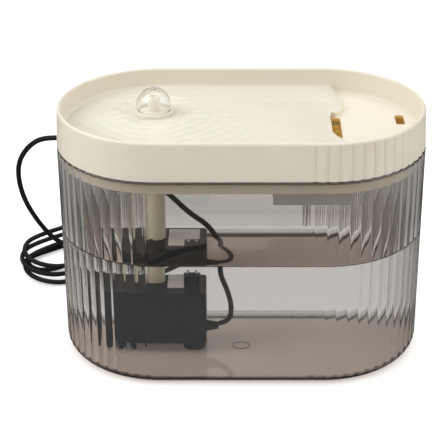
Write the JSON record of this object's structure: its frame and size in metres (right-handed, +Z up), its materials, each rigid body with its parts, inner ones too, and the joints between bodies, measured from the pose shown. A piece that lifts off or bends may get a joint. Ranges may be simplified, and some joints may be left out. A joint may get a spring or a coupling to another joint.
{
  "type": "pet water fountain",
  "caption": "Pet water fountain: ribbed clear tank with rounded ends, lift-off drinking tray with drain slot and ball spout, submerged pump, hanging filter box and USB cord.",
  "frame": {"origin": "middle of the tank's flat base", "axes": "+X to the right along the long side, +Y to the back, +Z up"},
  "size_m": [0.2775, 0.2524, 0.1717],
  "materials": {
    "smoky_clear": "clear smoky moulding, polished",
    "cream_plastic": "satin moulded",
    "clear_plastic": "clear, polished",
    "pale_clear": "translucent moulded",
    "filter_felt": "needled felt",
    "filter_granules": "packed granules",
    "black_plastic": "fine grained moulding",
    "black_rubber": "matt",
    "core_iron": "laminated",
    "coil_copper": "enamelled wire",
    "shaft_ceramic": "ground ceramic",
    "impeller_plastic": "moulded",
    "magnet": "ferrite",
    "steel": "plated",
    "label_sheet": "bare, matt",
    "cord_black": "smooth sheath"
  },
  "bodies": {
    "tank": {"tank": "smoky_clear", "rim_grommet": "black_rubber", "pump_housing": "black_plastic", "motor_end_cap": "black_plastic", "stator_core": "core_iron", "stator_coil": "coil_copper", "pump_head": "black_plastic", "head_seal": "black_rubber", "shaft_bush_front": "black_rubber", "shaft_bush_rear": "black_rubber", "impeller_shaft": "shaft_ceramic", "intake_cover": "black_plastic", "suction_feet": "black_rubber", "sensor_tower": "black_plastic", "sensor_pins": "steel", "pump_label": "label_sheet", "cable_gland": "black_rubber", "cord_inside": "cord_black", "cord_outside": "cord_black", "cord_coil": "cord_black", "cord_tail": "cord_black", "plug_relief": "cord_black", "plug_body": "cord_black", "plug_shell": "steel", "plug_tongue": "label_sheet"},
    "tray": {"tray": "cream_plastic", "tray_collar": "cream_plastic", "filter_socket": "cream_plastic", "riser_tube": "cream_plastic", "spout_nozzle": "cream_plastic"},
    "spout_ball": {"spout_ball": "clear_plastic"},
    "filter_box": {"filter_box": "pale_clear", "filter_felt": "filter_felt", "filter_granules": "filter_granules"},
    "impeller": {"impeller": "impeller_plastic", "rotor_magnet": "magnet"},
    "flow_slider": {"flow_slider": "black_plastic"}
  },
  "joints": [
    {"name": "tray_lift", "type": "slide", "parent": "tank", "child": "tray", "axis": [0, 0, 1], "range_m": [0, 0.12]},
    {"name": "ball_lift", "type": "slide", "parent": "tray", "child": "spout_ball", "axis": [0, 0, 1], "range_m": [0, 0.04]},
    {"name": "filter_release", "type": "slide", "parent": "tray", "child": "filter_box", "axis": [0, 0, -1], "range_m": [0, 0.03]},
    {"name": "impeller_spin", "type": "hinge", "parent": "tank", "child": "impeller", "pos_m": [-0.057, 0.009, 0.0235], "axis": [1, 0, 0], "continuous": true},
    {"name": "flow_slide", "type": "slide", "parent": "tank", "child": "flow_slider", "axis": [1, 0, 0], "range_m": [0, 0.004]}
  ]
}
